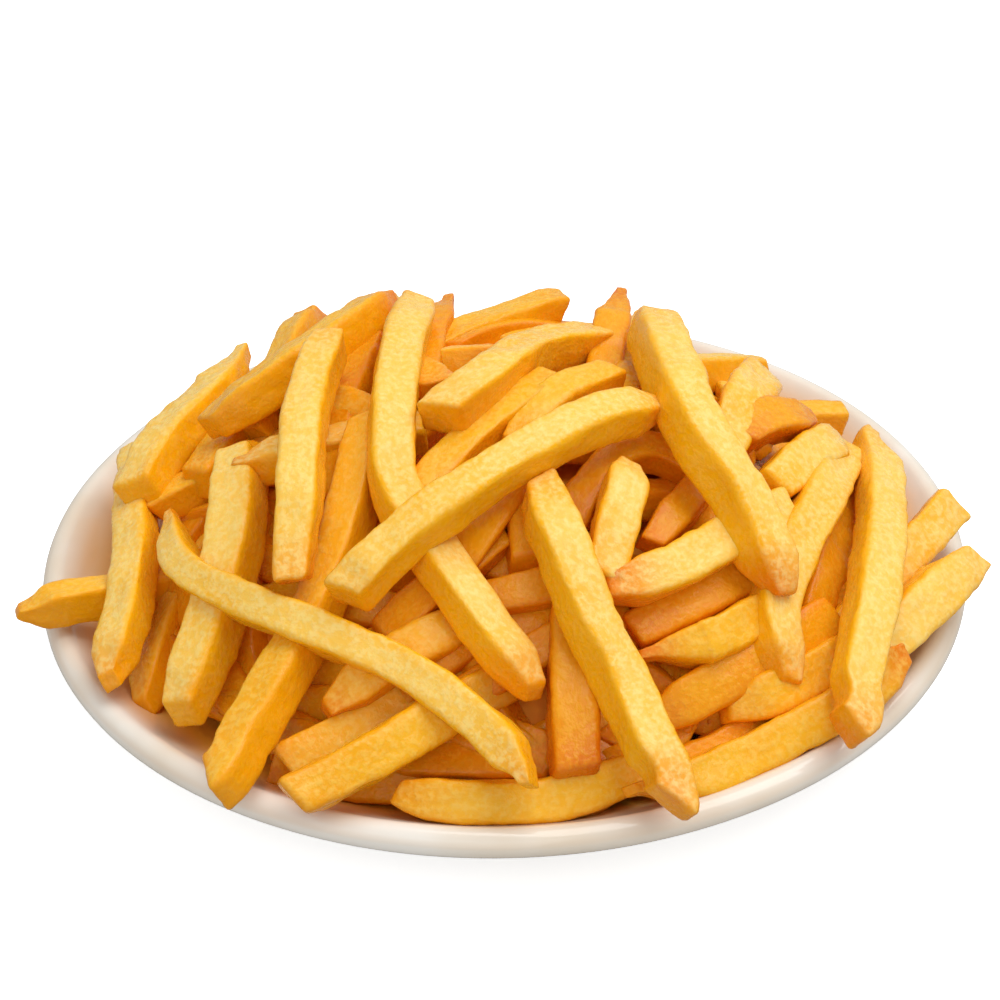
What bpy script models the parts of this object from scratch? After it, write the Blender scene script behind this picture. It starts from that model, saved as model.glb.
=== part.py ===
"""A portion of french fries heaped on its white coupe plate.

Metres, +Z up. The origin is on the plate's axis, on the surface that its foot ring stands on.
The front of the heap is -Y. Two solids: the turned plate, and the heap, which is one solid out to
the fries on its outside. Run with: blender --background --python part.py
"""

import math
import random

import bmesh
import bpy
from mathutils import Vector

MM = 0.001

# The plate.
RIM_RADIUS = 115.0  # outer edge of the rounded rim
RIM_EDGE_HEIGHT = 17.5  # where the rim is widest
CREST_RADIUS = 111.0
CREST_HEIGHT = 21.0
WALL_TOP_RADIUS = 108.6  # where the inner wall meets the rim's bead
WALL_TOP_HEIGHT = 19.4
WELL_RADIUS = 72.0
WELL_HEIGHT = 6.0
WALL_CURVE = 1.7  # how late the inner wall turns up
WALL_STEPS = 6
FOOT_OUTER_RADIUS = 65.0
FOOT_INNER_RADIUS = 60.0
UNDERSIDE_HEIGHT = 2.0
BEAD_INSET = 1.2  # the bead turns over towards the wall this far inside its crest
BEAD_DROP = 0.35
BEAD_ANGLES = (90, 60, 30, 0)
PLATE_STEPS = 56
CUTTER_FLOOR = -10.0  # the clearance cutter reaches this far below the table

# The mound that the fries lie on.
MOUND_BASE = 7.0
MOUND_RISE = 60.0
MOUND_RADIUS = 108.0
MOUND_POWER = 2.4  # over 2, so its shoulders are full
CORE_DEPTH = 9.0  # the core's surface lies this far under the fries' centre lines
CORE_RADIUS = 90.0
CORE_SKIRT_RADIUS = 84.0  # between the core's edge and the plate's well, where the core rests
CORE_EDGE = 3.0  # thickness of the core at its edge
CORE_RINGS = 7
CORE_STEPS = 28
LUMP_SIZE = 0.030
LUMP_HEIGHT = 0.006
GAP = 0.3  # between the heap and the plate

# Fries laid one by one: side of the square section, turn about its length, and its course in mm.
LEFT_FRIES = [
    (9.5, 10, [(-115, -38, 29), (-95, -30, 27), (-70, -16, 21), (-48, 0, 18)]),
    (9, -15, [(-94, 29, 30), (-91, 2, 33), (-88, -32, 32), (-90, -64, 27)]),
    (10, 0, [(-68, 54, 45), (-72, 34, 45), (-83, 12, 43), (-89, -6, 39)]),
    (9, 0, [(-70, -2, 28), (-78, -28, 23), (-84, -60, 16)]),
    (10, 15, [(-63, -8, 51), (-62, -34, 47), (-66, -54, 37), (-74, -77, 23)]),
    (9, 0, [(-64, -14, 52), (-42, -14, 57), (-18, -10, 58)]),
    (9, 0, [(-87, -5, 34), (-63, 4, 42), (-44, 8, 48)]),
    (9, 0, [(-49, 63, 51), (-54, 36, 53), (-60, 8, 47)]),
    (10, 0, [(-71, 4, 52), (-56, 12, 60), (-42, 24, 64), (-28, 49, 62)]),
    (10, 15, [(-41, 12, 71), (-45, -12, 69), (-46, -39, 64), (-47, -62, 52)]),
    (10, 10, [(-31, -14, 63), (-36, -44, 52), (-46, -68, 39), (-63, -102, 28)]),
]
FRONT_FRIES = [
    (8.5, 0, [(-81, -14, 39), (-73, -42, 42), (-60, -57, 44), (-41, -71, 45),
     (-22, -81, 41), (-7, -92, 36), (6, -109, 31)]),
    (10, 10, [(-46, -108, 29), (-32, -99, 30), (-13, -84, 32), (5, -70, 32)]),
    (9, 0, [(-48, -90, 22), (-24, -79, 29), (0, -66, 32)]),
    (11, 0, [(-40, -83, 32), (-24, -73, 38), (-5, -62, 42)]),
    (8, 0, [(-54, -77, 16), (-37, -68, 20), (-18, -58, 24)]),
    (10, 0, [(-24, -98, 21), (-9, -101, 20), (11, -99, 19), (28, -92, 20)]),
    (11, 0, [(15, -66, 43), (14, -84, 34), (14, -99, 25)]),
    (10, -20, [(8, -46, 65), (13, -64, 60), (18, -76, 51),
     (25, -87, 41), (30, -102, 35), (33, -113, 29)]),
    (10, 0, [(26, -105, 24), (41, -95, 20), (55, -86, 20), (72, -77, 23), (91, -62, 28)]),
    (10, 0, [(48, -79, 25), (61, -72, 26), (84, -52, 24)]),
    (10, 0, [(31, -83, 26), (53, -69, 30), (74, -52, 30)]),
    (9, 0, [(-28, -67, 38), (-14, -57, 47), (0, -46, 52)]),
    (9, 0, [(-26, -78, 30), (-8, -68, 38), (10, -62, 40)]),
    (9, 0, [(-14, -81, 30), (9, -70, 38), (28, -60, 40)]),
]
TOP_FRIES = [
    (9.5, 8, [(-20, 40, 65), (-24, -2, 71), (-25, -29, 68), (-24, -43, 62),
     (-15, -58, 55), (-5, -73, 47), (6, -86, 38)]),
    (9, 0, [(-35, -70, 53), (-23, -62, 62), (-7, -52, 69),
     (9, -41, 72.5), (23, -30, 73), (37, -20, 69)]),
    (9.5, 0, [(-14, 59, 56), (-17, 30, 59), (-20, -2, 60)]),
    (10, 0, [(-31, 33, 59), (-38, -2, 57), (-40, -30, 51)]),
    (9.5, 0, [(-22, 24, 57), (-4, 41, 56.5), (17, 55, 55.5)]),
    (8, 0, [(-13, 26, 59), (2, 42, 55), (20, 50, 50)]),
    (10.5, 0, [(-14, -28, 72.5), (-3, -14, 73.5), (10, 12, 67), (25, 29, 59)]),
    (9, 0, [(31, 54, 60), (28, 30, 60), (24, 5, 55)]),
    (8.5, 0, [(-19, -42, 60), (-7, -28, 66), (5, -14, 68), (13, -4, 68)]),
    (9, 0, [(2, -30, 64), (12, -14, 67.5), (27, 1, 66)]),
    (8, 0, [(34, 24, 55), (30, 2, 59), (26, -18, 58)]),
    (11, -20, [(38, 28, 67), (41, -10, 72), (46, -32, 68), (55, -46, 58), (62, -61, 44)]),
]
MIDDLE_FRIES = [
    (10, 0, [(22, -65, 50), (35, -60, 50), (52, -46, 50), (66, -30, 46)]),
    (10, 0, [(28, -76, 38), (43, -71, 38), (60, -57, 37)]),
    (10, 0, [(28, -66, 38), (50, -52, 40), (64, -40, 38)]),
    (10, 0, [(29, -34, 62), (26, -48, 58), (22, -62, 50)]),
    (9, 0, [(12, -46, 48), (20, -32, 55), (33, -20, 57), (50, -24, 52)]),
    (9, 0, [(54, -46, 42), (66, -42, 36)]),
    (9, 0, [(33, -48, 49), (45, -29, 52), (54, -10, 52)]),
    (10, 0, [(8, -16, 59), (6, -38, 56), (5, -55, 50)]),
    (10, 0, [(8, -22, 60), (-3, -44, 56), (-14, -60, 47)]),
    (9, 0, [(-8, -62, 44), (12, -59, 46), (28, -54, 46)]),
]
RIGHT_FRIES = [
    (11, 0, [(84, 6, 38), (73, -28, 44), (64, -48, 42), (60, -62, 38), (62, -74, 29)]),
    (9, 0, [(30, 36, 44), (50, 41, 43), (71, 45, 40)]),
    (11, 0, [(68, 29, 46), (60, 5, 55), (52, -20, 56)]),
    (10, 0, [(56, -12, 54), (64, -3, 51), (75, 7, 44)]),
    (9, 0, [(60, 28, 35), (74, 35, 31), (90, 40, 28)]),
    (10, 0, [(83, 7, 41), (75, -6, 46), (62, -27, 50)]),
    (10, -20, [(94, 12, 36), (90, -22, 40), (83, -56, 39), (73, -92, 31)]),
    (9.5, 0, [(109, -8, 30), (88, -38, 30), (72, -60, 26)]),
    (10.5, 0, [(110, -31, 31), (98, -46, 31), (82, -64, 28)]),
    (10, 0, [(86, 0, 30), (74, -38, 31), (66, -60, 24)]),
    (9, 0, [(64, -56, 28), (83, -36, 26)]),
]
BACK_FRIES = [
    (10, 0, [(-36, 109, 28), (-30, 84, 37), (-22, 56, 48)]),
    (10, 0, [(12, 108, 24), (6, 84, 32), (2, 52, 46)]),
    (10, 0, [(46, 96, 26), (40, 72, 38), (36, 44, 48)]),
    (10, 0, [(-66, 70, 20), (-48, 80, 22), (-24, 86, 24)]),
    (10, 0, [(70, 66, 20), (50, 78, 22), (26, 86, 24)]),
]

# Fries laid by rule over the back of the mound.
LOOSE_ROWS = ((40.0, 9), (66.0, 10))  # distance from the middle, and how many
LOOSE_SEED = 11
LOOSE_SWING = 0.1  # radians that a fry's place strays along its arc
LOOSE_HEADING = 1.2  # radians that its heading strays from the arc's
LOOSE_HALF_LENGTHS = (24.0, 38.0)
LOOSE_SIDES = (8.5, 10.5)
LOOSE_TURN = 30.0
LOOSE_DEPTHS = (0.0, 6.0)
BACK_FALL = 0.2  # the heap's back is steeper than its front


def material(name, colour, roughness):
    """A plain Principled finish."""
    made = bpy.data.materials.new(name)
    made.use_nodes = True
    shader = made.node_tree.nodes["Principled BSDF"]
    shader.inputs["Base Color"].default_value = (*colour, 1.0)
    shader.inputs["Roughness"].default_value = roughness
    shader.inputs["Metallic"].default_value = 0.0
    made.diffuse_color = (*colour, 1.0)
    return made


def new_collection(name, is_helper):
    made = bpy.data.collections.new(name)
    made.hide_render = is_helper
    bpy.context.scene.collection.children.link(made)
    return made


def wall_height(radius, lift):
    """Height of the plate's upper surface at a radius inside the rim's bead."""
    share = max(0.0, (radius - WELL_RADIUS) / (WALL_TOP_RADIUS - WELL_RADIUS))
    return WELL_HEIGHT + lift + (WALL_TOP_HEIGHT - WELL_HEIGHT) * share**WALL_CURVE


def upper_profile(lift, edge_lift):
    """(radius, height) of the plate's upper side, from its centre out to the rim's widest point."""
    points = [(0.0, WELL_HEIGHT + lift)]
    for step in range(WALL_STEPS + 1):
        radius = WELL_RADIUS + (WALL_TOP_RADIUS - WELL_RADIUS) * step / WALL_STEPS
        points.append((radius, wall_height(radius, lift)))
    bead_width = RIM_RADIUS - CREST_RADIUS + edge_lift
    bead_drop = CREST_HEIGHT + lift - RIM_EDGE_HEIGHT
    points.append((CREST_RADIUS - BEAD_INSET, CREST_HEIGHT + lift - BEAD_DROP))
    for degrees in BEAD_ANGLES:
        angle = math.radians(degrees)
        radius = CREST_RADIUS + bead_width * math.cos(angle)
        points.append((radius, RIM_EDGE_HEIGHT + bead_drop * math.sin(angle)))
    return points


def under_profile():
    """(radius, height) of the plate's underside, from the rim's edge in to the centre."""
    return [
        (114.2, 15.3),
        (111.5, 13.9),
        (104.0, 11.0),
        (92.0, 6.6),
        (80.0, 3.6),
        (FOOT_OUTER_RADIUS + 2.0, UNDERSIDE_HEIGHT),
        (FOOT_OUTER_RADIUS, 0.0),
        (FOOT_INNER_RADIUS, 0.0),
        (FOOT_INNER_RADIUS - 1.5, UNDERSIDE_HEIGHT),
        (0.0, UNDERSIDE_HEIGHT),
    ]


def turned(name, profile, steps, collection):
    """A solid turned about Z from (radius, height) points in mm, listed down its outer side."""
    mesh = bpy.data.meshes.new(name)
    points = [(radius * MM, 0.0, height * MM) for radius, height in profile]
    edges = [(i, i + 1) for i in range(len(points) - 1)]
    mesh.from_pydata(points, edges, [])
    made = bpy.data.objects.new(name, mesh)
    collection.objects.link(made)
    screw = made.modifiers.new("Turn", "SCREW")
    screw.axis = "Z"
    screw.steps = steps
    screw.render_steps = steps
    screw.use_merge_vertices = True
    screw.merge_threshold = 0.00001
    screw.use_smooth_shade = True
    return made


def mound_height(radius):
    """Height of the fries' centre lines over the table, as the mound falls off from its middle."""
    share = min(radius, MOUND_RADIUS) / MOUND_RADIUS
    return MOUND_BASE + MOUND_RISE * (1.0 - share**MOUND_POWER)


def mound_normal(point):
    """Which way the mound faces under a point."""
    radius = math.hypot(point[0], point[1])
    share = min(radius, CORE_RADIUS) / MOUND_RADIUS
    slope = MOUND_RISE * MOUND_POWER / MOUND_RADIUS * share ** (MOUND_POWER - 1.0)
    reach = max(radius, 1.0)
    return Vector((point[0] / reach * slope, point[1] / reach * slope, 1.0)).normalized()


def loose_fries():
    """Fries strewn in arcs over the mound's back, each lying along the slope at its own angle."""
    rng = random.Random(LOOSE_SEED)
    fries = []
    for reach, count in LOOSE_ROWS:
        for number in range(count):
            azimuth = math.pi * (number + 0.5) / count + rng.uniform(-LOOSE_SWING, LOOSE_SWING)
            centre = Vector((reach * math.cos(azimuth), reach * math.sin(azimuth), 0.0))
            heading = azimuth + math.pi / 2.0 + rng.uniform(-LOOSE_HEADING, LOOSE_HEADING)
            half = Vector((math.cos(heading), math.sin(heading), 0.0))
            half *= rng.uniform(*LOOSE_HALF_LENGTHS)
            side = rng.uniform(*LOOSE_SIDES)
            turn = rng.uniform(-LOOSE_TURN, LOOSE_TURN)
            depth = rng.uniform(*LOOSE_DEPTHS)
            course = [draped(centre + half * share, depth, side) for share in (-1.0, 0.0, 1.0)]
            fries.append((side, turn, course))
    return fries


def draped(spot, depth, side):
    """A spot let down onto the mound, and kept inside the plate's rim and off its wall."""
    radius = min(spot.length, CORE_RADIUS)
    spot = spot * (radius / max(spot.length, 1.0))
    fall = BACK_FALL * max(spot.y, 0.0)
    spot.z = max(mound_height(radius) - depth - fall, wall_height(radius, 0.0) + side)
    return spot


def section_turn(course, turn):
    """The tilt that lays a square section flat on the mound, and turns it on by some degrees."""
    along = (Vector(course[-1]) - Vector(course[0])).normalized()
    across = along.cross(Vector((0.0, 0.0, 1.0))).normalized()
    level_up = across.cross(along)
    facing = mound_normal(course[len(course) // 2])
    lean = math.atan2(facing.dot(across), facing.dot(level_up))
    return lean + math.radians(turn + 45.0)


def fry(number, side, turn, course, collection):
    """One fry as a solid: a curve with a square section, made a closed mesh."""
    curve = bpy.data.curves.new(f"fry_{number:03d}", "CURVE")
    curve.dimensions = "3D"
    curve.twist_mode = "Z_UP"
    curve.bevel_depth = side * MM / math.sqrt(2.0)
    curve.bevel_resolution = 0
    curve.use_fill_caps = True
    curve.resolution_u = 1
    spline = curve.splines.new("BEZIER")
    spline.bezier_points.add(len(course) - 1)
    tilt = section_turn(course, turn)
    for point, spot in zip(spline.bezier_points, course):
        point.co = Vector(spot) * MM
        point.handle_left_type = "AUTO"
        point.handle_right_type = "AUTO"
        point.tilt = tilt
    swept = bpy.data.objects.new(curve.name, curve)
    collection.objects.link(swept)
    graph = bpy.context.evaluated_depsgraph_get()
    mesh = bpy.data.meshes.new_from_object(swept.evaluated_get(graph))
    bpy.data.objects.remove(swept)
    shape = bmesh.new()
    shape.from_mesh(mesh)
    bmesh.ops.remove_doubles(shape, verts=shape.verts, dist=0.00001)
    bmesh.ops.recalc_face_normals(shape, faces=shape.faces)
    shape.to_mesh(mesh)
    shape.free()
    solid = bpy.data.objects.new(f"fry_{number:03d}", mesh)
    solid.display_type = "WIRE"
    solid.hide_render = True
    collection.objects.link(solid)
    return solid


def make_plate(collection):
    profile = upper_profile(0.0, 0.0) + under_profile()
    plate = turned("plate", profile, PLATE_STEPS, collection)
    plate.data.materials.append(material("white_glaze", (0.86, 0.85, 0.83), 0.15))
    return plate


def core_profile():
    """(radius, height) of the core: down the mound, then in along the plate with a gap."""
    points = []
    for step in range(CORE_RINGS + 1):
        radius = CORE_RADIUS * step / CORE_RINGS
        height = max(mound_height(radius) - CORE_DEPTH, wall_height(radius, GAP) + CORE_EDGE)
        points.append((radius, height))
    for radius in (CORE_RADIUS, CORE_SKIRT_RADIUS, WELL_RADIUS, 0.0):
        points.append((radius, wall_height(radius, GAP * 1.5)))
    return points


def make_core(collection):
    """The lumpy body under the fries."""
    core = turned("core", core_profile(), CORE_STEPS, collection)
    core.hide_render = True
    core.display_type = "WIRE"
    lumps = bpy.data.textures.new("lumps", "CLOUDS")
    lumps.noise_scale = LUMP_SIZE
    bump = core.modifiers.new("Lumps", "DISPLACE")
    bump.texture = lumps
    bump.texture_coords = "LOCAL"
    bump.direction = "Z"
    bump.mid_level = 0.5
    bump.strength = LUMP_HEIGHT
    return core


def islands(shape):
    """The separate closed bodies of a bmesh, as lists of faces."""
    found = []
    waiting = set(shape.faces)
    while waiting:
        island = []
        reached = [waiting.pop()]
        while reached:
            face = reached.pop()
            island.append(face)
            for edge in face.edges:
                for neighbour in edge.link_faces:
                    if neighbour in waiting:
                        waiting.remove(neighbour)
                        reached.append(neighbour)
        found.append(island)
    return found


def close_pockets(mesh):
    """Keeps only the outer body, so that no gap is shut inside the heap."""
    shape = bmesh.new()
    shape.from_mesh(mesh)
    bmesh.ops.remove_doubles(shape, verts=shape.verts, dist=0.00002)
    bodies = sorted(islands(shape), key=lambda body: sum(face.calc_area() for face in body))
    for body in bodies[:-1]:
        bmesh.ops.delete(shape, geom=body, context="FACES")
    shape.to_mesh(mesh)
    shape.free()


def union(name, first, others, collection):
    """One solid of an object and a collection of others."""
    join = first.modifiers.new("Join", "BOOLEAN")
    join.operation = "UNION"
    join.operand_type = "COLLECTION"
    join.collection = others
    join.solver = "EXACT"
    graph = bpy.context.evaluated_depsgraph_get()
    mesh = bpy.data.meshes.new_from_object(first.evaluated_get(graph))
    first.modifiers.remove(join)
    mesh.name = name
    close_pockets(mesh)
    made = bpy.data.objects.new(name, mesh)
    collection.objects.link(made)
    return made


def make_heap(collection, helpers):
    """The heap: every fry joined to the core, and the plate's clearance cut away."""
    fries = bpy.data.collections.new("fry_solids")
    helpers.children.link(fries)
    laid = LEFT_FRIES + FRONT_FRIES + TOP_FRIES + MIDDLE_FRIES + RIGHT_FRIES + BACK_FRIES
    laid += loose_fries()
    for number, (side, turn, course) in enumerate(laid):
        fry(number, side, turn, course, fries)
    heap = union("fries", make_core(helpers), fries, collection)
    clearance = turned("plate_clearance", clearance_profile(), PLATE_STEPS, helpers)
    clearance.display_type = "WIRE"
    clearance.hide_render = True
    cut = heap.modifiers.new("Clear the plate", "BOOLEAN")
    cut.operation = "DIFFERENCE"
    cut.object = clearance
    cut.solver = "EXACT"
    heap.data.materials.clear()
    heap.data.materials.append(material("fried_potato", (0.85, 0.52, 0.13), 0.5))
    return heap


def clearance_profile():
    """The plate's upper side raised by the gap, closed well below the plate."""
    return upper_profile(GAP, GAP) + [(RIM_RADIUS + GAP, CUTTER_FLOOR), (0.0, CUTTER_FLOOR)]


def main():
    for found in list(bpy.data.objects):
        bpy.data.objects.remove(found)
    portion = new_collection("french_fries_portion", False)
    helpers = new_collection("cutters", True)
    make_plate(portion)
    make_heap(portion, helpers)


main()
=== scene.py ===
# %% [markdown]
# # A plate of french fries
# This notebook dresses a simple solid model, a heap of fries on a plate, so that it looks like the
# real food. The solid model is the fixed frame: it says where everything is, and how large.
# Everything here is in metres, with +Z up and the plate's axis on the Z axis.

import math
import random

import bpy
import numpy as np
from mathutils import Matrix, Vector


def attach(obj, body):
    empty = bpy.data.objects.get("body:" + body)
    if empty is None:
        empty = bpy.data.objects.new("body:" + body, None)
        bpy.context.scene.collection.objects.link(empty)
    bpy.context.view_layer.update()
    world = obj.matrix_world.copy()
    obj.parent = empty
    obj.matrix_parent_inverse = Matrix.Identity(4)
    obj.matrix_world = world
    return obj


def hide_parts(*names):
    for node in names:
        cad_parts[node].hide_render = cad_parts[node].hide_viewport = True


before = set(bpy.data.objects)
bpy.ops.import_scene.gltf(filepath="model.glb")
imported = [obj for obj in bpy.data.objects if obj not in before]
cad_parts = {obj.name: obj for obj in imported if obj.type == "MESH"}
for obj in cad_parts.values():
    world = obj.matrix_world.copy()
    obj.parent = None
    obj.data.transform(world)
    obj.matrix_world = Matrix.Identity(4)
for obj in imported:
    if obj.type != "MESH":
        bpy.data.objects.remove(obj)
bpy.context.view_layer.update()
MM = 0.001
print("nodes:", sorted(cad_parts))

# %% [markdown]
# ## The camera
# The camera looks down at the plate with a moderately long lens, as food is often seen across a
# table. Its place is worked out from the middle of the plate's rim: back along the line of sight,
# then a little sideways and up, so that the plate sits slightly below the middle of the frame.

# %% Camera
LENS = 85.0
ELEVATION = math.radians(33.25)
DISTANCE = 594.0 * MM
RIM_LEVEL = 17.5 * MM
SIDEWAYS = -0.56 * MM
UPWARDS = 11.82 * MM
LEAN = math.radians(1.5)  # the picture's horizon is not quite level

forward = Vector((0.0, math.cos(ELEVATION), -math.sin(ELEVATION)))
upward = Vector((0.0, math.sin(ELEVATION), math.cos(ELEVATION)))
rightward = Vector((1.0, 0.0, 0.0))
camera = bpy.data.objects.new("camera", bpy.data.cameras.new("camera"))
camera.data.lens = LENS
camera.data.sensor_width = 36.0
camera.location = (
    Vector((0.0, 0.0, RIM_LEVEL)) - forward * DISTANCE + rightward * SIDEWAYS + upward * UPWARDS
)
camera.rotation_euler = forward.to_track_quat("-Z", "Y").to_euler()
camera.rotation_euler.rotate_axis("Z", -LEAN)
bpy.context.scene.collection.objects.link(camera)
bpy.context.scene.camera = camera
bpy.context.scene.view_settings.view_transform = "Standard"
print("camera at", [round(value, 3) for value in camera.location])

# %% [markdown]
# ## Floor and light
# The plate stands on a plain white table top that runs out of sight. A bright white world gives
# the even light of a studio tent. One wide lamp above on the right gives the tops of the fries
# their brightness, and a weak one in front keeps the near sides from going dull.

# %% Floor and light
WORLD_LIGHT = 0.50
WORLD_SEEN = 1.0  # the camera sees a white studio, brighter than the light it gives
FLOOR_GLOW = 0.66
# name, power in watts, size, place
LAMPS = (
    ("soft_lamp", 11.5, 1.1, Vector((0.45, 0.15, 1.15))),
    ("front_fill", 3.8, 1.2, Vector((-0.35, -1.10, 0.75))),
)


def plain_material(name, colour, roughness):
    """A Principled material with one colour, as a start."""
    made = bpy.data.materials.new(name)
    made.use_nodes = True
    shader = made.node_tree.nodes["Principled BSDF"]
    shader.inputs["Base Color"].default_value = (*colour, 1.0)
    shader.inputs["Roughness"].default_value = roughness
    return made


def choose_by_ray(tree, socket, lighting, seen):
    """One value where the surface lights other things, and another where the camera sees it."""
    ray = tree.nodes.new("ShaderNodeLightPath").outputs["Is Camera Ray"]
    chosen = tree.nodes.new("ShaderNodeMapRange")
    chosen.inputs["To Min"].default_value = lighting
    chosen.inputs["To Max"].default_value = seen
    tree.links.new(ray, chosen.inputs["Value"])
    tree.links.new(chosen.outputs["Result"], socket)


def deselect():
    """A new primitive, and every operator, acts on all that is selected."""
    if bpy.context.mode != "OBJECT":
        bpy.ops.object.mode_set(mode="OBJECT")
    bpy.ops.object.select_all(action="DESELECT")


deselect()
bpy.ops.mesh.primitive_plane_add(size=8.0)
floor = bpy.context.object
floor.name = "table_top"
table_paint = plain_material("white_table", (0.95, 0.95, 0.95), 0.8)
table_shader = table_paint.node_tree.nodes["Principled BSDF"]
table_shader.inputs["Emission Color"].default_value = (1.0, 1.0, 1.0, 1.0)
choose_by_ray(table_paint.node_tree, table_shader.inputs["Emission Strength"], 0.0, FLOOR_GLOW)
choose_by_ray(table_paint.node_tree, table_shader.inputs["Base Color"], 0.5, 0.95)
floor.data.materials.append(table_paint)

world = bpy.data.worlds.new("studio")
world.use_nodes = True
world.node_tree.nodes["Background"].inputs["Color"].default_value = (1.0, 1.0, 1.0, 1.0)
choose_by_ray(
    world.node_tree, world.node_tree.nodes["Background"].inputs["Strength"], WORLD_LIGHT, WORLD_SEEN
)
bpy.context.scene.world = world

for name, power, size, spot in LAMPS:
    lamp = bpy.data.objects.new(name, bpy.data.lights.new(name, "AREA"))
    lamp.data.energy = power
    lamp.data.size = size
    lamp.location = spot
    lamp.rotation_euler = (-spot).to_track_quat("-Z", "Y").to_euler()
    bpy.context.scene.collection.objects.link(lamp)
print("lit by a world at", WORLD_LIGHT, "and", len(LAMPS), "lamps")

# %% [markdown]
# ## The plate
# A coupe plate is turned: a flat well, a wall that curves up without a shoulder, a rounded bead
# at the rim, and a foot ring that it stands on. A spin or a screw would do, but here it is drawn
# out by hand: one small circle in the middle, extruded and scaled ring by ring along the profile.
# Extruding shows well how a closed shell goes over the rim and back underneath.

# %% Plate shape
PLATE_SIDES = 96
PLATE_MIDDLE = (8.0, 6.0)
# (radius, height) in mm, over the rim and down to the foot.
PLATE_RINGS = [
    (40.0, 6.0), (66.0, 6.0), (74.0, 6.05), (80.0, 6.45), (87.0, 7.95), (94.0, 10.7),
    (101.0, 14.6), (106.0, 17.9), (108.4, 19.6), (109.6, 20.55), (111.0, 21.0), (112.9, 20.6),
    (114.3, 19.4), (115.0, 17.6), (114.6, 16.0), (113.0, 14.7), (108.0, 12.5), (98.0, 8.8),
    (86.0, 5.1), (76.0, 2.9), (68.0, 2.1), (66.2, 1.7), (65.4, 0.5), (64.4, 0.0), (61.2, 0.0),
    (60.0, 0.5), (58.9, 1.7), (57.0, 2.1), (40.0, 2.1), (8.0, 2.1),
]


def ring_out(radius, height, old_radius, old_height):
    """Extrudes the selected ring, then scales and lifts the new one."""
    bpy.ops.mesh.extrude_edges_move()
    share = radius / old_radius
    bpy.ops.transform.resize(value=(share, share, 1.0), center_override=(0.0, 0.0, 0.0))
    bpy.ops.transform.translate(value=(0.0, 0.0, (height - old_height) * MM))


deselect()
bpy.ops.mesh.primitive_circle_add(
    vertices=PLATE_SIDES, radius=PLATE_MIDDLE[0] * MM, fill_type="NGON",
    location=(0.0, 0.0, PLATE_MIDDLE[1] * MM),
)
plate = bpy.context.object
plate.name = "coupe_plate"
bpy.ops.object.transform_apply(location=True, rotation=False, scale=False)
bpy.context.tool_settings.mesh_select_mode = (False, True, False)
bpy.ops.object.mode_set(mode="EDIT")
bpy.ops.mesh.select_all(action="SELECT")
bpy.ops.mesh.inset(thickness=2.0 * MM)
bpy.ops.mesh.select_all(action="SELECT")
bpy.ops.mesh.region_to_loop()
ring = PLATE_MIDDLE
for radius, height in PLATE_RINGS:
    ring_out(radius, height, *ring)
    ring = (radius, height)
bpy.ops.mesh.fill()
bpy.ops.mesh.select_all(action="SELECT")
bpy.ops.mesh.remove_doubles(threshold=0.00001)
bpy.ops.mesh.normals_make_consistent(inside=False)
bpy.ops.object.mode_set(mode="OBJECT")
smooth = plate.modifiers.new("Rounder", "SUBSURF")
smooth.levels = smooth.render_levels = 1
bpy.ops.object.modifier_apply(modifier=smooth.name)
bpy.ops.object.shade_smooth()
print("plate:", len(plate.data.polygons), "faces")

# %% [markdown]
# ## The glaze
# White glaze is a smooth glassy coat over pale clay. It is never quite even: the coat is a touch
# thicker and cooler in some places, and the surface waves slightly, which bends reflections. Where
# the foot ring was wiped, bare clay shows, matt and a little warmer. Height over the table picks
# that place out, so one material does for the whole plate. The upper side below the rim gets a
# painted cream reflection of the fries, and low in the well a painted orange bounce light from
# them; both are picked out by height too.

# %% Glaze material
GLAZE_WHITE = (0.90, 0.85, 0.77)
GLAZE_THIN = (0.80, 0.69, 0.55)
PAINTED_FRY_REFLECTION = (0.82, 0.61, 0.41)
PAINTED_WELL_GLOW = (0.92, 0.50, 0.05)
BARE_CLAY = (0.62, 0.56, 0.48)


def node(tree, kind, place, **settings):
    """Adds a node and sets its plain properties."""
    made = tree.nodes.new(kind)
    made.location = place
    for key, value in settings.items():
        setattr(made, key, value)
    return made


def noise(tree, place, vector, scale, detail=3.0, roughness=0.55):
    made = node(tree, "ShaderNodeTexNoise", place)
    made.inputs["Scale"].default_value = scale
    made.inputs["Detail"].default_value = detail
    made.inputs["Roughness"].default_value = roughness
    tree.links.new(vector, made.inputs["Vector"])
    return made.outputs["Fac"]


def spread(tree, place, value, low, high, new_low=0.0, new_high=1.0):
    """Stretches a value's range, with soft ends."""
    made = node(tree, "ShaderNodeMapRange", place, interpolation_type="SMOOTHSTEP")
    made.inputs["From Min"].default_value = low
    made.inputs["From Max"].default_value = high
    made.inputs["To Min"].default_value = new_low
    made.inputs["To Max"].default_value = new_high
    tree.links.new(value, made.inputs["Value"])
    return made.outputs["Result"]


def colour_mix(tree, place, share, first, second, blend="MIX"):
    """Mixes two colours. Each is a socket, or a plain colour."""
    made = node(tree, "ShaderNodeMix", place, data_type="RGBA", blend_type=blend)
    for value, name in ((share, "Factor_Float"), (first, "A_Color"), (second, "B_Color")):
        target = next(s for s in made.inputs if s.identifier == name)
        if isinstance(value, bpy.types.NodeSocket):
            tree.links.new(value, target)
        elif isinstance(value, float):
            target.default_value = value
        else:
            target.default_value = (*value, 1.0)
    return next(s for s in made.outputs if s.identifier == "Result_Color")


def maths(tree, place, operation, first, second, clamp=False):
    made = node(tree, "ShaderNodeMath", place, operation=operation, use_clamp=clamp)
    for value, target in zip((first, second), made.inputs):
        if isinstance(value, bpy.types.NodeSocket):
            tree.links.new(value, target)
        else:
            target.default_value = value
    return made.outputs[0]


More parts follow.
